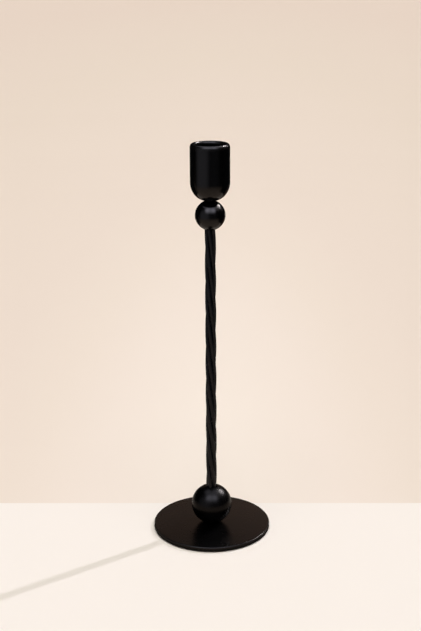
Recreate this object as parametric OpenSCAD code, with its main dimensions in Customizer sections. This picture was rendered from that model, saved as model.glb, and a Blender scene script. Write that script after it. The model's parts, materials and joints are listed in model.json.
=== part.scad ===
// Candlestick for one taper candle. A round plate carries a ball, a stem of
// twisted round rods, a smaller ball and a turned candle cup.
// Sizes are in millimetres. The origin is the centre of the underside, +Z is up.

/* [Base] */
// Diameter of the base plate
plate_d = 90; // [60:1:140]
// Thickness of the base plate
plate_t = 3; // [3:0.1:8]
// Radius of the edge round the plate's top
plate_edge_r = 0.6; // [0.2:0.1:1.2]
// Radius of the edge round the plate's underside
plate_under_edge_r = 0.3; // [0.1:0.1:1]
// Thickness of the felt pad under the plate
pad_t = 1; // [0.5:0.1:3]
// Distance from the plate's rim in to the pad's rim
pad_inset = 4; // [1:0.5:12]

/* [Balls] */
// Diameter of the lower ball
lower_ball_d = 31; // [26:0.5:44]
// Diameter of the flat on which the lower ball sits
seat_d = 7; // [6:0.5:12]
// Diameter of the upper ball
upper_ball_d = 22.3; // [20:0.1:30]
// Distance between the centres of the two balls
ball_pitch = 229.7; // [120:0.1:400]

/* [Stem] */
// Diameter of one round rod
rod_d = 3; // [2.4:0.1:3.8]
// Number of rods twisted round the core
rod_count = 5; // [4:1:8]
// Height in which a rod goes once round the stem
twist_lead = 127.5; // [80:0.5:400]
// Direction of the first rod at its foot, in degrees
twist_start = 67; // [0:1:90]
// Depth of the stem in the lower ball
lower_socket_depth = 12; // [6:0.5:16]
// Depth of the stem in the upper ball
upper_socket_depth = 8; // [5:0.5:11]

/* [Candle cup] */
// Outer diameter of the cup
cup_d = 29; // [26:0.5:44]
// Height of the cup above its neck
cup_h = 41; // [36:0.5:60]
// Height of the round foot of the cup
cup_foot_h = 13.5; // [8:0.5:20]
// Diameter of the candle bore
bore_d = 22; // [20:0.5:26]
// Depth of the candle bore below the rim
bore_depth = 28; // [18:0.5:33]
// Height of the rim's round outer side
rim_outer_h = 3.1; // [1:0.1:5]
// Height of the rim's round inner side
rim_inner_h = 2.2; // [1:0.1:5]
// Diameter of the neck that seats on the upper ball
neck_d = 6.4; // [6:0.1:10]
// Height of the neck
neck_h = 0.5; // [0.3:0.1:4]
// Width of the step from the neck out to the cup's round foot
neck_step = 0.5; // [0.2:0.1:2]

/* [Screws] */
// Shank diameter of both countersunk screws
screw_d = 4; // [3:0.1:5]
// Head diameter of both countersunk screws
screw_head_d = 8; // [7:0.1:8.6]
// Height of the straight edge round a screw's head
screw_head_edge = 0.3; // [0.1:0.1:0.6]
// Width across the flats of the hexagon socket in a head
screw_socket_w = 2.5; // [2:0.1:3]
// Depth of the hexagon socket in a head
screw_socket_depth = 1.5; // [1:0.1:2]
// Length of the lower screw inside the lower ball
base_screw_bite = 9.2; // [6:0.1:12]
// Length of the upper screw inside the upper ball
cup_screw_bite = 6.7; // [5:0.1:9]

/* [Fits] */
// Gap between neighbours in the stem
strand_gap = 0.06; // [0.02:0.01:0.2]
// Gap round the stem in its sockets
socket_gap = 0.05; // [0.02:0.01:0.2]
// Gap between the stem's top and the floor of the upper socket
stem_end_gap = 0.2; // [0.05:0.05:1]
// Gap round a screw in a hole that it passes through
pass_gap = 0.25; // [0.1:0.05:0.4]
// Gap round a screw's thread and head where it is seated
screw_gap = 0.05; // [0.02:0.01:0.1]
// Depth of a screw's head below the face round it
head_recess = 0.2; // [0.1:0.05:0.3]
// Free depth past a screw's tip
tip_gap = 1; // [0.5:0.1:2]

/* [Hidden] */
$fn = 96;
black_coat = [0.11, 0.1, 0.1];
bright_steel = [0.62, 0.62, 0.64];
grey_felt = [0.2, 0.2, 0.21];
// Length by which a cut runs past the face that it opens
overrun = 1;
// Steps in a quarter of a turned edge
arc_steps = 12;
// Sides of a rod, and its sections in one turn round the stem
rod_sides = 16;
sections_per_turn = 26;
// Share of the cup's wall that lies outside the crest of the rim
crest_share = 0.54;
// Share of the shank's radius that is bevelled off a screw's tip
tip_bevel_share = 0.25;

// Radii, and the heights at which the pieces meet
lower_ball_r = lower_ball_d / 2;
upper_ball_r = upper_ball_d / 2;
plate_top = pad_t + plate_t;
lower_centre = plate_top + sqrt(lower_ball_r ^ 2 - (seat_d / 2) ^ 2);
upper_centre = lower_centre + ball_pitch;
neck_seat = upper_centre + sqrt(upper_ball_r ^ 2 - (neck_d / 2) ^ 2);
cup_bottom = neck_seat + neck_h;
rim_top = cup_bottom + cup_h;
bore_floor = rim_top - bore_depth;

// The rods lie in a ring, each touching its neighbours but for the gap. A level
// slice through a slanting rod is wider round the stem than across it.
lay_angle = atan(PI * rod_d / sin(180 / rod_count) / twist_lead);
rod_width = rod_d / cos(lay_angle);
rod_circle_r = (rod_width + strand_gap) / 2 / sin(180 / rod_count);
core_r = rod_circle_r - rod_d / 2 - strand_gap;
socket_r = rod_circle_r + rod_d / 2 + socket_gap;
stem_foot = lower_centre + lower_ball_r - lower_socket_depth;
stem_top = upper_centre - upper_ball_r + upper_socket_depth - stem_end_gap;
stem_len = stem_top - stem_foot;
sections = ceil(stem_len / twist_lead * sections_per_turn);

// Part of an ellipse about a centre, from one angle to another
function arc(centre, semi, from, to, steps = arc_steps) = [
    for (k = [0:steps])
        let (a = from + (to - from) * k / steps)
            centre + [semi.x * cos(a), semi.y * sin(a)]
];

// Level slice of a rod whose centre lies in the direction az from the axis
function rod_slice(az, z) = [
    for (k = [0:rod_sides - 1])
        let (
            t = 360 * k / rod_sides,
            out = rod_circle_r + rod_d / 2 * cos(t),
            along = rod_width / 2 * sin(t)
        )
            [out * cos(az) - along * sin(az), out * sin(az) + along * cos(az), z]
];

// Screw that stands on its head's face, with the shank upwards
module countersunk_screw(length) {
    shank_r = screw_d / 2;
    head_r = screw_head_d / 2;
    bevel = shank_r * tip_bevel_share;
    difference() {
        rotate_extrude()
            polygon([
                [0, 0],
                [head_r, 0],
                [head_r, screw_head_edge],
                [shank_r, screw_head_edge + head_r - shank_r],
                [shank_r, length - bevel],
                [shank_r - bevel, length],
                [0, length]
            ]);
        translate([0, 0, -overrun])
            cylinder(h = screw_socket_depth + overrun, d = screw_socket_w / cos(30), $fn = 6);
    }
}

// Hole for that screw, open below its head
module screw_passage(length) {
    pass_r = screw_d / 2 + pass_gap;
    head_r = screw_head_d / 2 + screw_gap;
    rotate_extrude()
        polygon([
            [0, -head_recess - overrun],
            [head_r, -head_recess - overrun],
            [head_r, screw_head_edge],
            [pass_r, screw_head_edge + head_r - pass_r],
            [pass_r, length],
            [0, length]
        ]);
}

module base_pad() {
    color(grey_felt)
        cylinder(h = pad_t, r = plate_d / 2 - pad_inset);
}

module base_plate() {
    plate_r = plate_d / 2;
    color(black_coat)
        translate([0, 0, pad_t])
            difference() {
                rotate_extrude()
                    polygon(concat(
                        [[0, 0]],
                        arc(
                            [plate_r - plate_under_edge_r, plate_under_edge_r],
                            [plate_under_edge_r, plate_under_edge_r], -90, 0
                        ),
                        arc(
                            [plate_r - plate_edge_r, plate_t - plate_edge_r],
                            [plate_edge_r, plate_edge_r], 0, 90
                        ),
                        [[0, plate_t]]
                    ));
                translate([0, 0, head_recess])
                    screw_passage(plate_t + overrun);
            }
}

module base_screw() {
    color(bright_steel)
        translate([0, 0, pad_t + head_recess])
            countersunk_screw(plate_t - head_recess + base_screw_bite);
}

module lower_ball() {
    color(black_coat)
        difference() {
            translate([0, 0, lower_centre])
                sphere(r = lower_ball_r);
            // Flat on the plate, with the thread for the screw
            translate([0, 0, plate_top - lower_ball_r])
                cylinder(h = lower_ball_r, r = lower_ball_r);
            translate([0, 0, plate_top - overrun])
                cylinder(h = overrun + base_screw_bite + tip_gap, r = screw_d / 2 + screw_gap);
            // Socket for the stem
            translate([0, 0, stem_foot])
                cylinder(h = lower_socket_depth + overrun, r = socket_r);
        }
}

module stem_core() {
    color(bright_steel)
        translate([0, 0, stem_foot])
            cylinder(h = stem_len, r = core_r);
}

// One rod, swept up the stem through level slices so that its ends are flat
module stem_rod(i) {
    points = [
        for (s = [0:sections])
            let (rise = stem_len * s / sections)
                each rod_slice(
                    twist_start + 360 * (i - 1) / rod_count - 360 * rise / twist_lead,
                    stem_foot + rise
                )
    ];
    sides = [
        for (s = [0:sections - 1], k = [0:rod_sides - 1])
            let (
                a = s * rod_sides + k,
                b = s * rod_sides + (k + 1) % rod_sides
            )
                each [[a, a + rod_sides, b], [b, a + rod_sides, b + rod_sides]]
    ];
    foot = [for (k = [0:rod_sides - 1]) k];
    top = [for (k = [rod_sides - 1:-1:0]) sections * rod_sides + k];
    color(black_coat)
        polyhedron(points = points, faces = concat(sides, [foot, top]), convexity = 6);
}

module upper_ball() {
    color(black_coat)
        difference() {
            translate([0, 0, upper_centre])
                sphere(r = upper_ball_r);
            // Flat under the cup's neck, with the thread for the screw
            translate([0, 0, neck_seat])
                cylinder(h = upper_ball_r, r = upper_ball_r);
            translate([0, 0, neck_seat - cup_screw_bite - tip_gap])
                cylinder(h = cup_screw_bite + tip_gap + overrun, r = screw_d / 2 + screw_gap);
            // Socket for the stem
            translate([0, 0, stem_top + stem_end_gap - upper_socket_depth - overrun])
                cylinder(h = upper_socket_depth + overrun, r = socket_r);
        }
}

module cup_screw() {
    color(bright_steel)
        translate([0, 0, bore_floor - head_recess])
            mirror([0, 0, 1])
                countersunk_screw(bore_floor - head_recess - neck_seat + cup_screw_bite);
}

module candle_cup() {
    cup_r = cup_d / 2;
    bore_r = bore_d / 2;
    neck_r = neck_d / 2;
    foot_r = neck_r + neck_step;
    crest_r = cup_r - (cup_r - bore_r) * crest_share;
    color(black_coat)
        difference() {
            translate([0, 0, cup_bottom])
                rotate_extrude()
                    polygon(concat(
                        [[0, -neck_h], [neck_r, -neck_h], [neck_r, 0]],
                        arc([foot_r, cup_foot_h], [cup_r - foot_r, cup_foot_h], -90, 0, 2 * arc_steps),
                        arc([crest_r, cup_h - rim_outer_h], [cup_r - crest_r, rim_outer_h], 0, 90),
                        [
                            for (p = arc([crest_r, cup_h - rim_inner_h], [crest_r - bore_r, rim_inner_h], 90, 180))
                                if (p.x < crest_r) p
                        ],
                        [[bore_r, cup_h - bore_depth], [0, cup_h - bore_depth]]
                    ));
            translate([0, 0, bore_floor - head_recess])
                mirror([0, 0, 1])
                    screw_passage(bore_floor - neck_seat + overrun);
        }
}

base_pad();
base_plate();
base_screw();
lower_ball();
stem_core();
for (i = [1:rod_count]) stem_rod(i);
upper_ball();
cup_screw();
candle_cup();
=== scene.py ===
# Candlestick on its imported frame: turned and twisted pieces in a smooth black coat,
# steel screws, a felt pad, a plain pale floor in two tones, studio light and the camera.
import json
import math

import bmesh
import bpy
from mathutils import Matrix, Vector

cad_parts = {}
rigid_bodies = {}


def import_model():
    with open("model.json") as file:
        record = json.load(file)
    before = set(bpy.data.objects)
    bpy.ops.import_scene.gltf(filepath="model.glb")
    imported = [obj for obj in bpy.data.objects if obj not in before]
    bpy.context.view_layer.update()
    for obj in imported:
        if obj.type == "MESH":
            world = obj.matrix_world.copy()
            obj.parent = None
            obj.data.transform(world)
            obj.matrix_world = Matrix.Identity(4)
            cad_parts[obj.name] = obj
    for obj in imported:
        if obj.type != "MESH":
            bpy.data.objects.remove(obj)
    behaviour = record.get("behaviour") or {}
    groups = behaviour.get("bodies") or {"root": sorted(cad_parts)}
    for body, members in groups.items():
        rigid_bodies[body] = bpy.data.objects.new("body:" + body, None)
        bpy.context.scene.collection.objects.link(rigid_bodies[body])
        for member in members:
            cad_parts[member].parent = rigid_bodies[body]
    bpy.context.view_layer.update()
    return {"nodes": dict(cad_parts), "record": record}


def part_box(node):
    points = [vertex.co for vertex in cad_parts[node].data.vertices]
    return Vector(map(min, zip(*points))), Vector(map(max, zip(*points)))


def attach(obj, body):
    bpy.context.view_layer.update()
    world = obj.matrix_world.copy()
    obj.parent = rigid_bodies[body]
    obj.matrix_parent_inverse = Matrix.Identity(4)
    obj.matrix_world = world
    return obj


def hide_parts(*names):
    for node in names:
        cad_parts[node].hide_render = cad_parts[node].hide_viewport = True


mm = 0.001

print("clearing the start scene")
for leftover in list(bpy.data.objects):
    bpy.data.objects.remove(leftover, do_unlink=True)

print("loading the frame")
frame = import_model()
mounts = {mount["name"]: mount for mount in frame["record"]["mounts"]}
rodNodes = sorted(node for node in frame["nodes"] if node.startswith("stem_rod_"))


# Camera
view = {
    "lens": 68.46,  # mm
    "sensor": 36,  # mm, along the picture's long side
    "clip": (0.01, 100),  # m
    "distance": 852.93 * mm,  # in front of the stem's axis
    "height": 436.87 * mm,  # above the floor
    "side": -0.15 * mm,  # from the axis to the right
    "tilt": 17.216,  # degrees down from level
    "roll": -0.29,  # degrees
}


def setUpCamera():
    lens = bpy.data.cameras.new("camera")
    lens.lens = view["lens"]
    lens.sensor_width = view["sensor"]
    lens.clip_start, lens.clip_end = view["clip"]
    camera = bpy.data.objects.new("camera", lens)
    bpy.context.scene.collection.objects.link(camera)
    place = Matrix.Translation((view["side"], -view["distance"], view["height"]))
    turn = Matrix.Rotation(math.radians(90 - view["tilt"]), 4, "X")
    roll = Matrix.Rotation(math.radians(view["roll"]), 4, "Z")
    camera.matrix_world = place @ turn @ roll
    bpy.context.scene.camera = camera


print("setting up the camera")
setUpCamera()


# The outline of a turned piece is a list of points (radius, height). A third value rounds the
# corner by that radius, and a point of four values is on a handled edge already.
turning = {
    "cornerSteps": 6,  # faces across a rounded corner
    "wornReach": 0.7 * mm,  # how far an edge's wear runs into the wall beside it
    "shortWall": 2.1 * mm,  # a shorter wall gets no extra rings
    "longestStep": 2.5 * mm,  # along a wall
    "sharpAngle": 38,  # degrees, an edge that turns more is shaded sharp
    "axisRadius": 0.001 * mm,  # closer to the axis a ring is one point
}


def arcPoints(centre, semi, start, end, steps, handled=False):
    points = []
    for step in range(steps + 1):
        angle = math.radians(start + (end - start) * step / steps)
        point = (centre[0] + semi[0] * math.cos(angle), centre[1] + semi[1] * math.sin(angle))
        points.append((*point, 0, 1) if handled else point)
    return points


def roundedCorner(before, corner, after, radius):
    here = Vector(corner)
    back = (Vector(before) - here).normalized()
    onward = (Vector(after) - here).normalized()
    half = back.angle(onward) / 2
    centre = here + (back + onward).normalized() * radius / math.sin(half)
    start = here + back * radius / math.tan(half) - centre
    end = here + onward * radius / math.tan(half) - centre
    first = math.degrees(math.atan2(start.y, start.x))
    sweep = math.degrees(math.atan2(end.y, end.x)) - first
    sweep = (sweep + 180) % 360 - 180
    return arcPoints(centre, (radius, radius), first, first + sweep, turning["cornerSteps"])


def softOutline(corners):
    # returns (radius, height, edge), where edge is 1 on a rounded or handled edge
    points = []
    for place, corner in enumerate(corners):
        if len(corner) != 3:
            points.append((corner[0], corner[1], 1.0 if len(corner) == 4 else 0.0))
            continue
        before = corners[place - 1][:2]
        after = corners[(place + 1) % len(corners)][:2]
        for radius, height in roundedCorner(before, corner[:2], after, corner[2]):
            points.append((radius, height, 1.0))
    return points


def supportLoops(points, closed):
    # extra rings keep the worn edge narrow and long walls evenly divided
    reach = turning["wornReach"]
    spread = []
    for place, point in enumerate(points):
        spread.append(point)
        if place == len(points) - 1 and not closed:
            break
        after = points[(place + 1) % len(points)]
        length = math.dist(point[:2], after[:2])
        if length <= turning["shortWall"]:
            continue
        shares = [reach / length] if point[2] else []
        pieces = math.ceil(length / turning["longestStep"])
        even = [step / pieces for step in range(1, pieces)]
        shares += [share for share in even if reach < share * length < length - reach]
        if after[2]:
            shares.append(1 - reach / length)
        for share in shares:
            radius = point[0] + (after[0] - point[0]) * share
            height = point[1] + (after[1] - point[1]) * share
            spread.append((radius, height, 0.0))
    return spread


def bridgeRings(shape, lower, upper):
    # a ring of one point closes the piece at its axis
    for side in range(max(len(lower), len(upper))):
        corners = [
            lower[side % len(lower)],
            lower[(side + 1) % len(lower)],
            upper[(side + 1) % len(upper)],
            upper[side % len(upper)],
        ]
        shape.faces.new(list(dict.fromkeys(corners)))


def keepSharp(shape):
    for face in shape.faces:
        face.smooth = True
    for edge in shape.edges:
        if len(edge.link_faces) == 2:
            edge.smooth = edge.calc_face_angle(0) < math.radians(turning["sharpAngle"])


def finishMesh(name, shape):
    bmesh.ops.recalc_face_normals(shape, faces=shape.faces)
    keepSharp(shape)
    mesh = bpy.data.meshes.new(name)
    shape.to_mesh(mesh)
    shape.free()
    piece = bpy.data.objects.new(name, mesh)
    bpy.context.scene.collection.objects.link(piece)
    return piece


def turnPiece(name, corners, sides, closed=False):
    # a closed outline goes round a hole along the axis
    shape = bmesh.new()
    edgeLayer = shape.verts.layers.float.new("edge")
    rings = []
    for radius, height, edge in supportLoops(softOutline(corners), closed):
        ring = []
        for side in range(1 if radius < turning["axisRadius"] else sides):
            angle = 2 * math.pi * side / sides
            vert = shape.verts.new((radius * math.cos(angle), radius * math.sin(angle), height))
            vert[edgeLayer] = edge
            ring.append(vert)
        rings.append(ring)
    for lower, upper in zip(rings, rings[1:]):
        bridgeRings(shape, lower, upper)
    if closed:
        bridgeRings(shape, rings[-1], rings[0])
    return finishMesh(name, shape)


# What the materials are put together from
def feed(tree, socket, value):
    # another node's output is linked, and a plain number, vector or colour is set
    if isinstance(value, bpy.types.NodeSocket):
        tree.links.new(value, socket)
    elif value is not None:
        socket.default_value = (*value, 1) if socket.type == "RGBA" else value


def addNode(tree, kind, **values):
    # each value is named as its input, with _ for a blank
    node = tree.nodes.new(kind)
    for label, value in values.items():
        feed(tree, node.inputs[label.replace("_", " ")], value)
    return node


def addMath(tree, operation, *values, clamp=False):
    node = tree.nodes.new("ShaderNodeMath")
    node.operation = operation
    node.use_clamp = clamp
    for socket, value in zip(node.inputs, values):
        feed(tree, socket, value)
    return node.outputs[0]


def addVectorMath(tree, operation, *values):
    node = tree.nodes.new("ShaderNodeVectorMath")
    node.operation = operation
    for socket, value in zip(node.inputs, values):
        feed(tree, socket, value)
    return node.outputs["Value" if operation in ("DOT_PRODUCT", "LENGTH") else "Vector"]


def addRange(tree, value, fromLow, fromHigh, toLow=0, toHigh=1, smooth=False):
    node = addNode(tree, "ShaderNodeMapRange", Value=value, From_Min=fromLow, From_Max=fromHigh,
                   To_Min=toLow, To_Max=toHigh)
    node.interpolation_type = "SMOOTHSTEP" if smooth else "LINEAR"
    return node.outputs["Result"]


def addNoise(tree, place, scale, detail=2.0, rough=0.5):
    noise = addNode(tree, "ShaderNodeTexNoise", Vector=place, Scale=scale, Detail=detail, Roughness=rough)
    return noise.outputs["Fac"]


def addMix(tree, share, first, second):
    node = tree.nodes.new("ShaderNodeMix")
    node.data_type = "RGBA"
    for label, value in (("Factor", share), ("A", first), ("B", second)):
        feed(tree, node.inputs[label], value)
    return node.outputs["Result"]


def addPlace(tree):
    return tree.nodes.new("ShaderNodeTexCoord").outputs["Object"]


def addAttribute(tree, name):
    node = tree.nodes.new("ShaderNodeAttribute")
    node.attribute_name = name
    return node.outputs


def addBump(tree, height, depth, normal=None):
    return addNode(tree, "ShaderNodeBump", Height=height, Distance=depth, Normal=normal).outputs["Normal"]


def blendShaders(tree, share, first, second):
    node = tree.nodes.new("ShaderNodeMixShader")
    for socket, value in zip(node.inputs, (share, first, second)):
        feed(tree, socket, value)
    return node.outputs["Shader"]


def startMaterial(name):
    material = bpy.data.materials.new(name)
    material.use_nodes = True
    return material, material.node_tree, material.node_tree.nodes["Principled BSDF"]


def dress(piece, material):
    piece.data.materials.clear()
    piece.data.materials.append(material)


# Shared effects, each a node group with its own inputs
effects = {
    "noiseSpan": (0.3, 0.7),  # where nearly all values of a noise lie
    "waveHeight": 1.6,  # of the coat's slow waves, against its grain
    "rubbedSpan": (0.35, 0.7),  # noise from a whole coat to a rubbed one
    "dustSlope": 3,  # power at which dust thins out on a slope
    "speckSpan": (0.1, 0.0),  # from a speck's rim to its middle, in cells
    "patchScale": 90,  # per m, of the patches that dust lies in
    "patchSpan": (0.5, 0.7),
    "veil": 0.15,  # thin dust between the specks
}


def startGroup(name, inputs, outputs):
    # an input is a vector where its value is one, and every output is a plain value
    group = bpy.data.node_groups.new(name, "ShaderNodeTree")
    for label, value in inputs.items():
        kind = "NodeSocketVector" if isinstance(value, tuple) else "NodeSocketFloat"
        socket = group.interface.new_socket(name=label, in_out="INPUT", socket_type=kind)
        socket.default_value = value
    for label in outputs:
        group.interface.new_socket(name=label, in_out="OUTPUT", socket_type="NodeSocketFloat")
    given = group.nodes.new("NodeGroupInput").outputs
    result = group.nodes.new("NodeGroupOutput").inputs
    return group, given, result


def placeGroup(tree, group, **values):
    node = tree.nodes.new("ShaderNodeGroup")
    node.node_tree = group
    for label, value in values.items():
        feed(tree, node.inputs[label.replace("_", " ")], value)
    return node.outputs


def oneOver(tree, value):
    return addMath(tree, "DIVIDE", 1, value)


def makeCoatSkin():
    # fine grain and the slow waves of a sprayed coat
    inputs = {"Grain Size": 0.4 * mm, "Wave Size": 2.0 * mm, "Mottle Size": 12 * mm}
    group, given, result = startGroup("coatSkin", inputs, ("Height", "Mottle"))
    place = addPlace(group)
    grain = addNoise(group, place, oneOver(group, given["Grain Size"]), detail=1.0)
    waves = addNoise(group, place, oneOver(group, given["Wave Size"]), detail=0.0)
    mottle = addNoise(group, place, oneOver(group, given["Mottle Size"]), detail=3.0, rough=0.6)
    feed(group, result["Height"], addMath(group, "MULTIPLY_ADD", waves, effects["waveHeight"], grain))
    feed(group, result["Mottle"], addRange(group, mottle, *effects["noiseSpan"]))
    return group


def makeRubbedEdge():
    # handled edges, from the edge value that each turned piece carries
    inputs = {"Break Size": 1.5 * mm, "Amount": 0.5}
    group, given, result = startGroup("rubbedEdge", inputs, ("Mask", "Edge"))
    edge = addAttribute(group, "edge")["Fac"]
    broken = addNoise(group, addPlace(group), oneOver(group, given["Break Size"]), detail=4.0, rough=0.6)
    patchy = addMath(group, "MULTIPLY", edge, addRange(group, broken, *effects["rubbedSpan"]))
    feed(group, result["Mask"], addMath(group, "MULTIPLY", patchy, given["Amount"], clamp=True))
    feed(group, result["Edge"], edge)
    return group


def makeRestingDust():
    # specks and a faint veil on faces that look up
    inputs = {"Speck Size": 0.9 * mm, "Amount": 0.5}
    group, given, result = startGroup("restingDust", inputs, ("Mask",))
    place = addPlace(group)
    normal = group.nodes.new("ShaderNodeNewGeometry").outputs["Normal"]
    rise = addNode(group, "ShaderNodeSeparateXYZ", Vector=normal).outputs["Z"]
    upward = addMath(group, "POWER", addMath(group, "MAXIMUM", rise, 0), effects["dustSlope"])
    cells = addNode(group, "ShaderNodeTexVoronoi", Vector=place, Scale=oneOver(group, given["Speck Size"]))
    specks = addRange(group, cells.outputs["Distance"], *effects["speckSpan"])
    patches = addNoise(group, place, effects["patchScale"], detail=3.0)
    patches = addRange(group, patches, *effects["patchSpan"])
    lying = addMath(group, "MULTIPLY", specks, patches)
    lying = addMath(group, "MULTIPLY_ADD", patches, effects["veil"], lying)
    lying = addMath(group, "MULTIPLY", lying, upward)
    feed(group, result["Mask"], addMath(group, "MULTIPLY", lying, given["Amount"], clamp=True))
    return group


def makeTurnedRings():
    # faint rings left by the lathe, about the upright axis
    group, given, result = startGroup("turnedRings", {"Spacing": 0.25 * mm}, ("Height",))
    place = addNode(group, "ShaderNodeSeparateXYZ", Vector=addPlace(group)).outputs
    flat = addNode(group, "ShaderNodeCombineXYZ", X=place["X"], Y=place["Y"])
    radius = addVectorMath(group, "LENGTH", flat.outputs[0])
    profile = addNode(group, "ShaderNodeCombineXYZ", X=radius, Z=place["Z"])
    rings = addNoise(group, profile.outputs[0], oneOver(group, given["Spacing"]))
    feed(group, result["Height"], rings)
    return group


def makeDrawnLines():
    # long fine lines along a drawn wire, in the wire's own unwound space
    inputs = {"Line Width": 0.15 * mm, "Stretch": 60.0}
    group, given, result = startGroup("drawnLines", inputs, ("Height",))
    unwound = addAttribute(group, "wireSpace")["Vector"]
    squeeze = addNode(group, "ShaderNodeCombineXYZ", X=1, Y=1, Z=oneOver(group, given["Stretch"]))
    place = addVectorMath(group, "MULTIPLY", unwound, squeeze.outputs[0])
    feed(group, result["Height"], addNoise(group, place, oneOver(group, given["Line Width"])))
    return group


coatSkin = makeCoatSkin()
rubbedEdge = makeRubbedEdge()
restingDust = makeRestingDust()
turnedRings = makeTurnedRings()
drawnLines = makeDrawnLines()


# The black coat. What a piece's own coat says takes the place of these.
blackCoat = {
    "deep": (0.0002, 0.0002, 0.0002),
    "light": (0.0006, 0.0005, 0.0005),
    "roughness": (0.25, 0.30),  # in the deep and in the light places
    "specular": 0.20,
    "grazingDull": 1.0,  # share of the gloss lost along the outline
    "grazingPower": 2.0,  # the higher, the closer to the outline it is lost
    "grainDepth": 0.006 * mm,
    "lineDepth": 0.001 * mm,  # of the metal's rings or lines, as the coat shows them
    "edgeRoughness": 0.0,  # added along handled edges
    "rub": 0.4,  # how strongly the handled edges are rubbed
    "rubbed": (0.006, 0.0055, 0.0055),
    "rubbedRoughness": -0.06,  # added where the coat is rubbed
    "dust": 0.006,  # how much of it lies on the coat
    "dustTone": (0.10, 0.09, 0.08),
    "dustRoughness": 0.4,  # added under dust
}


def makeCoat(name, ownCoat, lines):
    coat = {**blackCoat, **ownCoat}
    material, tree, surface = startMaterial(name)
    skin = placeGroup(tree, coatSkin)
    edges = placeGroup(tree, rubbedEdge, Amount=coat["rub"])
    dusty = placeGroup(tree, restingDust, Amount=coat["dust"])["Mask"]
    colour = addMix(tree, skin["Mottle"], coat["deep"], coat["light"])
    colour = addMix(tree, edges["Mask"], colour, coat["rubbed"])
    feed(tree, surface.inputs["Base Color"], addMix(tree, dusty, colour, coat["dustTone"]))
    roughness = addRange(tree, skin["Mottle"], 0, 1, *coat["roughness"])
    roughness = addMath(tree, "MULTIPLY_ADD", edges["Edge"], coat["edgeRoughness"], roughness)
    roughness = addMath(tree, "MULTIPLY_ADD", edges["Mask"], coat["rubbedRoughness"], roughness)
    roughness = addMath(tree, "MULTIPLY_ADD", dusty, coat["dustRoughness"], roughness)
    feed(tree, surface.inputs["Roughness"], roughness)
    facing = tree.nodes.new("ShaderNodeLayerWeight").outputs["Facing"]
    fading = addMath(tree, "POWER", facing, coat["grazingPower"])
    kept = addMath(tree, "MULTIPLY_ADD", fading, -coat["grazingDull"], 1, clamp=True)
    gloss = surface.inputs["Specular IOR Level"]
    gloss.default_value = coat["specular"]  # what an export without the link shows
    feed(tree, gloss, addMath(tree, "MULTIPLY", kept, coat["specular"]))
    normal = addBump(tree, skin["Height"], coat["grainDepth"])
    normal = addBump(tree, placeGroup(tree, lines)["Height"], coat["lineDepth"], normal)
    feed(tree, surface.inputs["Normal"], normal)
    return material


def standFor(piece, node):
    # the piece takes its node's place and moves with the one body of this object
    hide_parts(node)
    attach(piece, "root")


# Base plate
plate = {
    "edgeRound": 0.6 * mm,
    "underRound": 0.3 * mm,
    "holeRadius": 2.25 * mm,
    "headRadius": 4.05 * mm,
    "headDepth": 0.5 * mm,  # straight part of the screw head's seat
    "breakRound": 0.12 * mm,  # rounding of the drilled edges
    "sides": 240,
    "coat": {},  # just as blackCoat says
}


def makePlate():
    low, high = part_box("base_plate")
    rim = high.x
    coneTop = low.z + plate["headDepth"] + plate["headRadius"] - plate["holeRadius"]
    piece = turnPiece("basePlate", [
        (plate["holeRadius"], coneTop),
        (plate["headRadius"], low.z + plate["headDepth"]),
        (plate["headRadius"], low.z, plate["breakRound"]),
        (rim, low.z, plate["underRound"]),
        (rim, high.z, plate["edgeRound"]),
        (plate["holeRadius"], high.z, plate["breakRound"]),
    ], plate["sides"], closed=True)
    dress(piece, makeCoat("plateCoat", plate["coat"], turnedRings))
    standFor(piece, "base_plate")


print("turning the base plate")
makePlate()


# The two balls. The stem's outer radius sets both sockets.
balls = {
    "socketGap": 0.05 * mm,
    "threadRadius": 2.05 * mm,
    "mouthRound": 0.25 * mm,  # rounding where a hole opens
    "arcSteps": 72,
    "sides": 160,
}
lowerBall = {
    "socketDepth": 12 * mm,
    "threadDepth": 10.2 * mm,
    "coat": {"roughness": (0.25, 0.29), "specular": 0.13, "grazingPower": 0.7},
}
upperBall = {
    "socketDepth": 8 * mm,
    "threadDepth": 7.7 * mm,
    "coat": {"roughness": (0.13, 0.17)},
}


def stemRadius():
    return max(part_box(node)[1].x for node in rodNodes)


def makeLowerBall():
    low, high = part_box("lower_ball")
    radius = high.x
    socket = stemRadius() + balls["socketGap"]
    centre = high.z - math.sqrt(radius ** 2 - socket ** 2)
    foot = centre + radius - lowerBall["socketDepth"]
    threadTop = low.z + lowerBall["threadDepth"]
    bottom = math.degrees(math.asin((low.z - centre) / radius))
    top = math.degrees(math.acos(socket / radius))
    skin = arcPoints((0, centre), (radius, radius), bottom, top, balls["arcSteps"])
    skin[-1] = (*skin[-1], balls["mouthRound"])
    piece = turnPiece("lowerBall", [
        (0, threadTop),
        (balls["threadRadius"], threadTop),
        (balls["threadRadius"], low.z, balls["mouthRound"]),
        *skin,
        (socket, foot),
        (0, foot),
    ], balls["sides"])
    dress(piece, makeCoat("lowerBallCoat", lowerBall["coat"], turnedRings))
    standFor(piece, "lower_ball")


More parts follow.
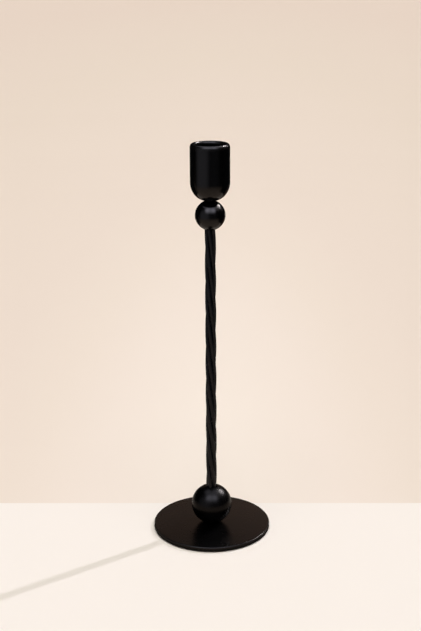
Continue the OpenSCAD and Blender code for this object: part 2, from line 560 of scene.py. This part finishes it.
def makeUpperBall():
    low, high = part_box("upper_ball")
    radius = high.x
    socket = stemRadius() + balls["socketGap"]
    centre = low.z + math.sqrt(radius ** 2 - socket ** 2)
    socketTop = centre - radius + upperBall["socketDepth"]
    threadFoot = high.z - upperBall["threadDepth"]
    bottom = -math.degrees(math.acos(socket / radius))
    top = math.degrees(math.asin((high.z - centre) / radius))
    skin = arcPoints((0, centre), (radius, radius), bottom, top, balls["arcSteps"])
    skin[0] = (*skin[0], balls["mouthRound"])
    piece = turnPiece("upperBall", [
        (0, socketTop),
        (socket, socketTop),
        *skin,
        (balls["threadRadius"], high.z, balls["mouthRound"]),
        (balls["threadRadius"], threadFoot),
        (0, threadFoot),
    ], balls["sides"])
    dress(piece, makeCoat("upperBallCoat", upperBall["coat"], turnedRings))
    standFor(piece, "upper_ball")


print("turning the balls")
makeLowerBall()
makeUpperBall()


# Stem: round rods laid left-handed round a straight core
stem = {
    "rodRadius": 1.5 * mm,
    "lead": 127.5 * mm,  # height of one whole turn
    "start": 67,  # degrees, direction of the first rod at its foot
    "gap": 0.06 * mm,
    "sides": 28,
    "sectionsPerTurn": 84,
    "apart": 10 * mm,  # between two rods in their unwound space, so that their lines differ
    "coat": {
        # deep and light here are a lighter, bluer copy of the black coat: painted light, standing in for
        # the soft light that the rods mirror
        "deep": (0.0023, 0.0026, 0.0039),
        "light": (0.0039, 0.0043, 0.0061),
        "roughness": (0.24, 0.32),
        "specular": 0.175,
        "grazingPower": 1.0,
        "lineDepth": 0.005 * mm,
        "rub": 0.0,
    },
}


def makeRod(node, number, material):
    low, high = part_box(node)
    circle = stemRadius() - stem["rodRadius"]
    halfWidth = circle * math.sin(math.pi / len(rodNodes)) - stem["gap"] / 2
    length = high.z - low.z
    sections = math.ceil(length / stem["lead"] * stem["sectionsPerTurn"])
    first = stem["start"] + 360 * (number - 1) / len(rodNodes)
    shape = bmesh.new()
    wireLayer = shape.verts.layers.float_vector.new("wireSpace")
    rings = []
    for section in range(sections + 1):
        rise = length * section / sections
        turn = math.radians(first - 360 * rise / stem["lead"])
        ring = []
        for side in range(stem["sides"]):
            angle = 2 * math.pi * side / stem["sides"]
            out = circle + stem["rodRadius"] * math.cos(angle)
            along = halfWidth * math.sin(angle)
            x = out * math.cos(turn) - along * math.sin(turn)
            y = out * math.sin(turn) + along * math.cos(turn)
            vert = shape.verts.new((x, y, low.z + rise))
            across = stem["rodRadius"] * math.cos(angle) + number * stem["apart"]
            vert[wireLayer] = (across, stem["rodRadius"] * math.sin(angle), rise)
            ring.append(vert)
        rings.append(ring)
    for lower, upper in zip(rings, rings[1:]):
        bridgeRings(shape, lower, upper)
    shape.faces.new(rings[0])
    shape.faces.new(rings[-1])
    piece = finishMesh("stemRod%d" % number, shape)
    dress(piece, material)
    standFor(piece, node)


print("twisting the rods")
rodCoat = makeCoat("rodCoat", stem["coat"], drawnLines)
for number, node in enumerate(rodNodes, start=1):
    makeRod(node, number, rodCoat)


# Candle cup
cup = {
    "neckRadius": 3.2 * mm,
    "neckHeight": 0.5 * mm,
    "neckStep": 0.5 * mm,
    "footHeight": 13.5 * mm,
    "rimOuter": 3.1 * mm,  # height of the rim's outer rounding
    "boreDepth": 28 * mm,
    "crestShare": 0.54,  # share of the wall outside the rim's crest
    "holeRadius": 2.25 * mm,
    "headRadius": 4.05 * mm,
    "headDepth": 0.5 * mm,  # straight part of the screw head's seat
    "floorRound": 0.8 * mm,
    "breakRound": 0.12 * mm,  # rounding of the drilled edges
    "footSteps": 42,
    "rimSteps": 14,
    "sides": 192,
    "coat": {"roughness": (0.12, 0.15), "edgeRoughness": 0.14},
}


def makeCup():
    low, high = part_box("candle_cup")
    outer = high.x
    socket = mounts["candle_socket"]
    bore = socket["dims"]["r_mm"] * mm
    rimInner = high.z - socket["pos_m"][2]
    crest = outer - (outer - bore) * cup["crestShare"]
    bottom = low.z + cup["neckHeight"]
    floor = high.z - cup["boreDepth"]
    foot = cup["neckRadius"] + cup["neckStep"]
    coneFoot = floor - cup["headDepth"] - (cup["headRadius"] - cup["holeRadius"])
    centre = (foot, bottom + cup["footHeight"])
    footArc = arcPoints(centre, (outer - foot, cup["footHeight"]), -90, 0, cup["footSteps"])
    centre = (crest, high.z - cup["rimOuter"])
    outerRim = arcPoints(centre, (outer - crest, cup["rimOuter"]), 0, 90, cup["rimSteps"], handled=True)
    centre = (crest, high.z - rimInner)
    innerRim = arcPoints(centre, (crest - bore, rimInner), 90, 180, cup["rimSteps"], handled=True)
    piece = turnPiece("candleCup", [
        (cup["holeRadius"], low.z, cup["breakRound"]),
        (cup["neckRadius"], low.z, cup["breakRound"]),
        (cup["neckRadius"], bottom, cup["breakRound"]),
        *footArc,
        *outerRim,
        *innerRim[1:],
        (bore, floor, cup["floorRound"]),
        (cup["headRadius"], floor, cup["breakRound"]),
        (cup["headRadius"], floor - cup["headDepth"]),
        (cup["holeRadius"], coneFoot),
    ], cup["sides"], closed=True)
    dress(piece, makeCoat("cupCoat", cup["coat"], turnedRings))
    standFor(piece, "candle_cup")


print("turning the candle cup")
makeCup()


# Screws and core wire, the frame's own solids in turned steel
screwSteel = {
    "bright": (0.55, 0.55, 0.57),
    "dull": (0.42, 0.42, 0.45),
    "roughness": (0.22, 0.40),
    "lineDepth": 0.004 * mm,
    "cloudScale": 500,  # per m
}
coreSteel = {
    "bright": (0.50, 0.49, 0.48),
    "dull": (0.36, 0.35, 0.34),
    "roughness": (0.30, 0.45),
    "lineDepth": 0.003 * mm,
    "cloudScale": 500,
}


def makeSteel(name, steel):
    material, tree, surface = startMaterial(name)
    surface.inputs["Metallic"].default_value = 1
    marks = placeGroup(tree, turnedRings)["Height"]
    clouds = addNoise(tree, addPlace(tree), steel["cloudScale"], detail=4.0, rough=0.6)
    cloudy = addRange(tree, clouds, *effects["noiseSpan"])
    feed(tree, surface.inputs["Base Color"], addMix(tree, cloudy, steel["bright"], steel["dull"]))
    roughness = addRange(tree, marks, *effects["noiseSpan"], *steel["roughness"])
    feed(tree, surface.inputs["Roughness"], roughness)
    feed(tree, surface.inputs["Normal"], addBump(tree, marks, steel["lineDepth"]))
    return material


# Felt pad, the frame's own disc
felt = {
    "dark": (0.020, 0.020, 0.021),
    "pale": (0.055, 0.054, 0.056),
    "tuftScale": 1400,  # per m
    "cloudScale": 300,
    "hairScale": 2200,
    "evenShare": 0.5,  # of the tone, which the clouds don't change
    "hairHeight": 0.5,  # against the tufts
    "depth": 0.12 * mm,
    "roughness": (0.88, 1.0),
    "specular": 0.15,
    "sheen": 0.4,
}


def makeFelt():
    material, tree, surface = startMaterial("greyFelt")
    place = addPlace(tree)
    tufts = addNoise(tree, place, felt["tuftScale"], detail=6.0, rough=0.7)
    clouds = addNoise(tree, place, felt["cloudScale"], detail=3.0)
    hairs = addNode(tree, "ShaderNodeTexVoronoi", Vector=place, Scale=felt["hairScale"])
    hairs.feature = "DISTANCE_TO_EDGE"
    fibres = addMath(tree, "MULTIPLY_ADD", hairs.outputs["Distance"], felt["hairHeight"], tufts)
    tone = addMath(tree, "MULTIPLY", tufts, addMath(tree, "ADD", clouds, felt["evenShare"]))
    tone = addRange(tree, tone, *effects["noiseSpan"])
    feed(tree, surface.inputs["Base Color"], addMix(tree, tone, felt["dark"], felt["pale"]))
    roughness = addRange(tree, tufts, *effects["noiseSpan"], *felt["roughness"])
    feed(tree, surface.inputs["Roughness"], roughness)
    surface.inputs["Specular IOR Level"].default_value = felt["specular"]
    surface.inputs["Sheen Weight"].default_value = felt["sheen"]
    feed(tree, surface.inputs["Normal"], addBump(tree, fibres, felt["depth"]))
    return material


print("finishing the hidden pieces")
zincSteel = makeSteel("zincSteel", screwSteel)
for node in ("base_screw", "cup_screw"):
    dress(frame["nodes"][node], zincSteel)
dress(frame["nodes"]["stem_core"], makeSteel("wireSteel", coreSteel))
dress(frame["nodes"]["base_pad"], makeFelt())


# What the gloss mirrors: drapes with lamps and boards on them, and a screen round the back.
# A panel on them is its direction, half width, half height, softness and colour.
# Directions are taken from the upper ball. The boards are seen again in the far floor.
drapes = {
    "radius": 1.36,  # m
    "subdivisions": 5,
    "seenFrom": (0, 0, 0.25),  # m, about the upper ball's place
    "cloth": (0.018, 0.018, 0.020),
    "lamps": (
        ((0.02, -0.645, 0.765), 0.70, 0.35, 0.30, (4.4, 4.3, 4.9)),  # overhead light in front
        ((-0.34, -0.58, 0.78), 0.22, 0.24, 0.20, (2.3, 2.2, 2.6)),  # more of it on the left
        ((0.42, -0.58, 0.78), 0.22, 0.24, 0.20, (2.1, 2.0, 2.4)),  # and on the right
        ((0.0, 0.08, 1.0), 0.75, 0.36, 0.22, (2.4, 2.3, 2.6)),  # ceiling
        ((0.70, 0.13, 0.76), 0.46, 0.24, 0.20, (1.45, 1.3, 1.35)),  # light on the right
        ((0.734, 0.459, 0.500), 0.26, 0.22, 0.20, (0.75, 0.65, 0.64)),  # haze below the key lamp
    ),
    "boards": (
        ((-0.719, -0.695, 0.05), 0.66, 0.70, 0.45, (0.64, 0.62, 0.68)),  # grey board on the left
        ((0.30, -0.95, 0.05), 0.70, 0.70, 0.50, (0.115, 0.115, 0.135)),  # dark board in front
    ),
}
screen = {
    "radius": 0.30,  # m
    "top": 0.26,  # m above the floor
    "right": 58,  # where it starts, in degrees round the axis from the camera
    "left": 278,  # where it ends
    "steps": 48,
    "fadeSteps": 5,  # over which each end fades out
    "panels": (
        ((0.0, 0.30, -0.12), 0.42, 0.14, 0.10, (0.56, 0.365, 0.265)),  # what the plate mirrors
        ((0.15, 0.26, -0.17), 0.35, 0.25, 0.20, (0.20, 0.13, 0.10)),  # paper behind on the right
    ),
}


def makeSoftPanel():
    # mask of a soft-edged rectangle round one direction
    inputs = {
        "Direction": (0, -1, 0),
        "Centre": (0, -1, 0),
        "Half Width": 0.3,
        "Half Height": 0.2,
        "Softness": 0.1,
    }
    group, given, result = startGroup("softPanel", inputs, ("Mask",))
    direction = given["Direction"]
    centre = addVectorMath(group, "NORMALIZE", given["Centre"])
    side = addVectorMath(group, "NORMALIZE", addVectorMath(group, "CROSS_PRODUCT", centre, (0, 0, 1)))
    rise = addVectorMath(group, "CROSS_PRODUCT", side, centre)
    ahead = addVectorMath(group, "DOT_PRODUCT", direction, centre)
    depth = addMath(group, "MAXIMUM", ahead, 0.01)  # never zero, as it divides
    mask = addMath(group, "GREATER_THAN", ahead, 0.02)  # nothing on the opposite side
    for axis, limit in ((side, given["Half Width"]), (rise, given["Half Height"])):
        offset = addMath(group, "DIVIDE", addVectorMath(group, "DOT_PRODUCT", direction, axis), depth)
        inner = addMath(group, "SUBTRACT", limit, given["Softness"])
        outer = addMath(group, "ADD", limit, given["Softness"])
        within = addRange(group, addMath(group, "ABSOLUTE", offset), inner, outer, 1, 0, smooth=True)
        mask = addMath(group, "MULTIPLY", mask, within)
    feed(group, result["Mask"], mask)
    return group


def addPanels(tree, direction, panels, total):
    for centre, halfWidth, halfHeight, softness, colour in panels:
        mask = placeGroup(tree, softPanel, Direction=direction, Centre=centre, Half_Width=halfWidth,
                          Half_Height=halfHeight, Softness=softness)["Mask"]
        total = addVectorMath(tree, "ADD", addVectorMath(tree, "MULTIPLY", mask, colour), total)
    return total


softPanel = makeSoftPanel()


# Floor in two tones, pale in front of the edge line and peach behind it
stage = {
    "reach": 14.0,  # m to every side
    "edgeLine": 38.9 * mm,  # behind the axis
    "edgeTurn": -0.62,  # degrees, so that the line is level in the picture
    "pale": (0.990, 0.909, 0.842),
    "fibreScale": 900,  # per m
    "fibreTone": 0.985,  # of the darkest fibres, against the pale tone
    # tones that only gloss rays see on the floor: a painted reflection, with painted shade under the
    # plate's edge and painted dark further off
    "paleInGloss": (1.0, 0.78, 0.63),
    "darkInGloss": (0.018, 0.017, 0.018),
    "shadeAtPlate": (45.5 * mm, 53 * mm),  # painted shade: from the axis, where the mirrored floor grows from dark under the plate's edge to pale
    "litInGloss": (0.15, 1.05),  # painted shade: m from the axis, where the mirrored floor grows dark again
    "sideFalloff": 6.0,  # how much faster the painted falloff of the peach tone runs sideways
    "peach": (  # painted light: brighter round the candlestick and darker far off; distance from the axis in m, and the tone there
        (0.0, (0.936, 0.819, 0.720)),
        (0.22, (0.940, 0.822, 0.725)),
        (0.62, (0.908, 0.780, 0.685)),
        (1.00, (0.875, 0.745, 0.642)),
        (1.50, (0.850, 0.716, 0.617)),
        (4.0, (0.815, 0.686, 0.578)),
        (9.0, (0.799, 0.658, 0.558)),
    ),
    "peachGain": (1.022, 1.035, 1.041),  # so that the lit tone is the one above
}


def flatSheet(name, front, back):
    reach = stage["reach"]
    shape = bmesh.new()
    corners = ((-reach, front, 0), (reach, front, 0), (reach, back, 0), (-reach, back, 0))
    shape.faces.new([shape.verts.new(corner) for corner in corners])
    sheet = finishMesh(name, shape)
    sheet.rotation_euler.z = math.radians(stage["edgeTurn"])
    return sheet


def startPaper(name):
    material, tree, surface = startMaterial(name)
    surface.inputs["Roughness"].default_value = 1
    surface.inputs["Specular IOR Level"].default_value = 0
    return material, tree, surface


def makePaleFloor():
    sheet = flatSheet("paleFloor", -stage["reach"], stage["edgeLine"])
    material, tree, surface = startPaper("palePaper")
    fibres = addNoise(tree, addPlace(tree), stage["fibreScale"], detail=3.0)
    darker = tuple(stage["fibreTone"] * channel for channel in stage["pale"])
    feed(tree, surface.inputs["Base Color"], addMix(tree, fibres, darker, stage["pale"]))
    # gloss rays see this emitted, painted tone instead of the lit paper: painted shade under the plate's
    # edge, pale round it, dark with the boards further off
    far = addVectorMath(tree, "LENGTH", addVectorMath(tree, "MULTIPLY", addPlace(tree), (1, 1, 0)))
    paintedPlateShade = addRange(tree, far, *stage["shadeAtPlate"], smooth=True)
    lit = addMath(tree, "MULTIPLY", paintedPlateShade, addRange(tree, far, *stage["litInGloss"], 1, 0, smooth=True))
    fromBall = addVectorMath(tree, "SUBTRACT", addPlace(tree), drapes["seenFrom"])
    direction = addVectorMath(tree, "NORMALIZE", fromBall)
    distant = addPanels(tree, direction, drapes["boards"], stage["darkInGloss"])
    colour = addMix(tree, lit, distant, stage["paleInGloss"])
    mirrored = addNode(tree, "ShaderNodeEmission", Color=colour)
    inGloss = tree.nodes.new("ShaderNodeLightPath").outputs["Is Glossy Ray"]
    shown = blendShaders(tree, inGloss, surface.outputs["BSDF"], mirrored.outputs["Emission"])
    feed(tree, tree.nodes["Material Output"].inputs["Surface"], shown)
    material.cycles.emission_sampling = "NONE"
    dress(sheet, material)


def makePeachFloor():
    sheet = flatSheet("peachFloor", stage["edgeLine"], stage["reach"])
    material, tree, surface = startPaper("peachPaper")
    # the base colour carries painted light: brighter near the axis, darker far off and faster to the sides
    place = addNode(tree, "ShaderNodeSeparateXYZ", Vector=addPlace(tree)).outputs
    wide = addMath(tree, "MULTIPLY", place["X"], stage["sideFalloff"])
    squares = addMath(tree, "ADD", addMath(tree, "POWER", wide, 2), addMath(tree, "POWER", place["Y"], 2))
    farthest = stage["peach"][-1][0]
    share = addMath(tree, "DIVIDE", addMath(tree, "SQRT", squares), farthest)
    ramp = addNode(tree, "ShaderNodeValToRGB", Fac=addMath(tree, "SQRT", share))
    stops = ramp.color_ramp.elements  # one at either end to start with
    for distance, tone in stage["peach"][1:-1]:
        stops.new(math.sqrt(distance / farthest))
    for stop, (distance, tone) in zip(stops, stage["peach"]):
        stop.color = (*tone, 1)
    colour = addVectorMath(tree, "MULTIPLY", ramp.outputs["Color"], stage["peachGain"])
    feed(tree, surface.inputs["Base Color"], colour)
    dress(sheet, material)


print("laying the floor")
makePaleFloor()
makePeachFloor()


# Light. Gloss mirrors the drapes instead of the lamps, apart from keyShine.
lamps = {
    "keyLamp": {
        "aim": (0.5513, 0.4016, 0.7314),  # towards the lamp that throws the shadow
        "strength": 0.72,
        "angle": 1.0,  # degrees across
        "colour": (1.0, 1.0, 1.15),
        "inGloss": False,
    },
    "keyShine": {
        "aim": (0.640, 0.440, 0.645),  # the same lamp as the gloss mirrors it
        "strength": 5.0,
        "angle": 22,
        "colour": (1.0, 0.93, 0.93),
        "inGloss": True,
    },
    "softLamp": {
        "aim": (0.0, -0.30, 0.954),
        "strength": 1.98,
        "angle": 40,
        "colour": (1.0, 1.0, 1.0),
        "inGloss": False,
    },
}
surroundings = {
    "sky": (0.79, 0.65, 0.55),  # what is seen past the floor
    "ambient": (0.22, 0.21, 0.171),  # what lights the scene
}


def addSun(name, values):
    lamp = bpy.data.lights.new(name, "SUN")
    lamp.energy = values["strength"]
    lamp.angle = math.radians(values["angle"])
    lamp.color = values["colour"]
    lamp.cycles.use_multiple_importance_sampling = not values["inGloss"]  # its rays stop at the drapes
    lampObject = bpy.data.objects.new(name, lamp)
    lampObject.rotation_mode = "QUATERNION"
    lampObject.rotation_quaternion = Vector(values["aim"]).to_track_quat("Z", "Y")
    lampObject.visible_glossy = values["inGloss"]
    lampObject.visible_diffuse = not values["inGloss"]
    bpy.context.scene.collection.objects.link(lampObject)


def seenDirectly(tree):
    # 1 for rays that show the background: from the camera, in gloss and through glass
    path = tree.nodes.new("ShaderNodeLightPath").outputs
    shown = addMath(tree, "MAXIMUM", path["Is Camera Ray"], path["Is Glossy Ray"])
    return addMath(tree, "MAXIMUM", shown, path["Is Transmission Ray"])


def makeWorld():
    world = bpy.data.worlds.new("studio")
    bpy.context.scene.world = world
    world.use_nodes = True
    tree = world.node_tree
    tree.nodes.clear()
    sky = addNode(tree, "ShaderNodeBackground", Color=surroundings["sky"])
    ambient = addNode(tree, "ShaderNodeBackground", Color=surroundings["ambient"])
    shown = blendShaders(tree, seenDirectly(tree), ambient.outputs[0], sky.outputs[0])
    addNode(tree, "ShaderNodeOutputWorld", Surface=shown)


def showInGlossOnly(sheet):
    sheet.visible_camera = False
    sheet.visible_diffuse = False
    sheet.visible_shadow = False
    sheet.visible_transmission = False
    sheet.visible_volume_scatter = False


def makeCloth(name, panels, fades=False):
    material, tree, surface = startMaterial(name)
    tree.nodes.remove(surface)
    direction = addVectorMath(tree, "NORMALIZE", addPlace(tree))
    colour = addPanels(tree, direction, panels, drapes["cloth"])
    shown = addNode(tree, "ShaderNodeEmission", Color=colour).outputs[0]
    if fades:
        clear = tree.nodes.new("ShaderNodeBsdfTransparent").outputs[0]
        shown = blendShaders(tree, addAttribute(tree, "solid")["Fac"], clear, shown)
    feed(tree, tree.nodes["Material Output"].inputs["Surface"], shown)
    return material


def makeDrapes():
    shape = bmesh.new()
    bmesh.ops.create_icosphere(shape, subdivisions=drapes["subdivisions"], radius=drapes["radius"])
    bmesh.ops.translate(shape, verts=shape.verts, vec=-Vector(drapes["seenFrom"]))
    shell = finishMesh("drapes", shape)
    shell.location = drapes["seenFrom"]
    showInGlossOnly(shell)
    dress(shell, makeCloth("drapeCloth", drapes["lamps"] + drapes["boards"]))


def makeScreen():
    # dark screen round the back, so that outlines stay dark
    foot = -drapes["seenFrom"][2]
    shape = bmesh.new()
    solidLayer = shape.verts.layers.float.new("solid")
    pairs = []
    for step in range(screen["steps"] + 1):
        turn = screen["right"] + (screen["left"] - screen["right"]) * step / screen["steps"]
        angle = math.radians(turn)
        x = screen["radius"] * math.sin(angle)
        y = -screen["radius"] * math.cos(angle)
        pair = (shape.verts.new((x, y, foot)), shape.verts.new((x, y, foot + screen["top"])))
        for vert in pair:
            vert[solidLayer] = min(1, min(step, screen["steps"] - step) / screen["fadeSteps"])
        pairs.append(pair)
    for first, second in zip(pairs, pairs[1:]):
        shape.faces.new((first[0], second[0], second[1], first[1]))
    sheet = finishMesh("backScreen", shape)
    sheet.location = drapes["seenFrom"]
    showInGlossOnly(sheet)
    dress(sheet, makeCloth("screenCloth", screen["panels"], fades=True))


print("lighting")
makeWorld()
for name, values in lamps.items():
    addSun(name, values)
makeDrapes()
makeScreen()

bpy.context.scene.view_settings.view_transform = "Standard"

print("finishing")
